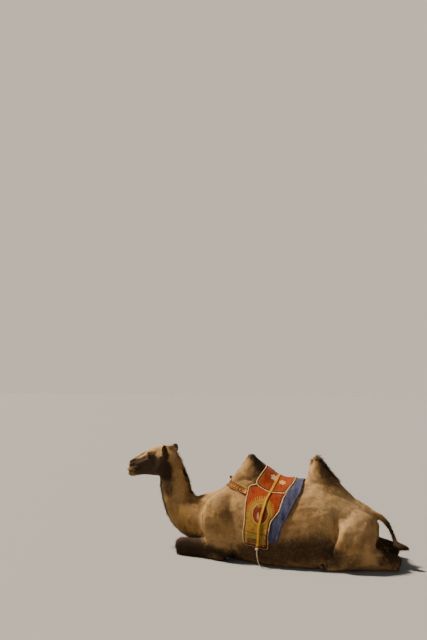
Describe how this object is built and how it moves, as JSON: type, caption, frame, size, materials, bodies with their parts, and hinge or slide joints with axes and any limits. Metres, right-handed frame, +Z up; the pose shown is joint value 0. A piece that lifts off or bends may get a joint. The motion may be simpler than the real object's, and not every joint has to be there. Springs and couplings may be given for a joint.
{
  "type": "bactrian camel",
  "caption": "Life-size two-humped camel lying on folded legs with its head up, wearing a saddle carpet, blanket, seat rug and girth strap.",
  "frame": {"origin": "on the floor, under the middle of the whole model's box", "axes": "+Z up; the camel faces -Y and its length lies along Y; +X is its left side"},
  "size_m": [0.944, 2.9564, 1.0865],
  "materials": {
    "coat_tan": "short matt fur, tan",
    "coat_brown": "longer matt hair, dark brown",
    "eye": "wet gloss",
    "horn": "worn horn",
    "carpet_red": "woven wool carpet, orange red",
    "rug_red": "padded wool rug, orange red",
    "blanket_blue": "felted wool, slate blue",
    "strap_yellow": "woven webbing, yellow",
    "cord_pale": "twisted cord, pale",
    "band_tan": "woven band, tan with a dark key fret",
    "knot_red": "knotted cloth, dark red"
  },
  "bodies": {
    "root": {"trunk": "coat_tan", "neck": "coat_tan", "head": "coat_tan", "hump_front": "coat_tan", "hump_rear": "coat_tan", "shoulder_left": "coat_tan", "shoulder_right": "coat_tan", "forearm_left": "coat_brown", "forearm_right": "coat_brown", "front_foot_left": "coat_brown", "front_foot_right": "coat_brown", "thigh_left": "coat_tan", "thigh_right": "coat_tan", "shank_left": "coat_tan", "shank_right": "coat_tan", "hind_foot_left": "coat_tan", "hind_foot_right": "coat_tan", "tail": "coat_tan", "tail_tuft": "coat_brown", "ear_left": "coat_brown", "ear_right": "coat_brown", "eye_left": "eye", "eye_right": "eye", "toenail_front_left_inner": "horn", "toenail_front_left_outer": "horn", "toenail_front_right_inner": "horn", "toenail_front_right_outer": "horn", "toenail_hind_left_inner": "horn", "toenail_hind_left_outer": "horn", "toenail_hind_right_inner": "horn", "toenail_hind_right_outer": "horn", "carpet": "carpet_red", "seat_rug": "rug_red", "under_blanket": "blanket_blue", "girth_strap": "strap_yellow", "girth_knot_left": "cord_pale", "girth_knot_right": "cord_pale", "girth_end": "cord_pale", "hump_band": "band_tan", "hump_band_knot": "knot_red"}
  },
  "joints": []
}
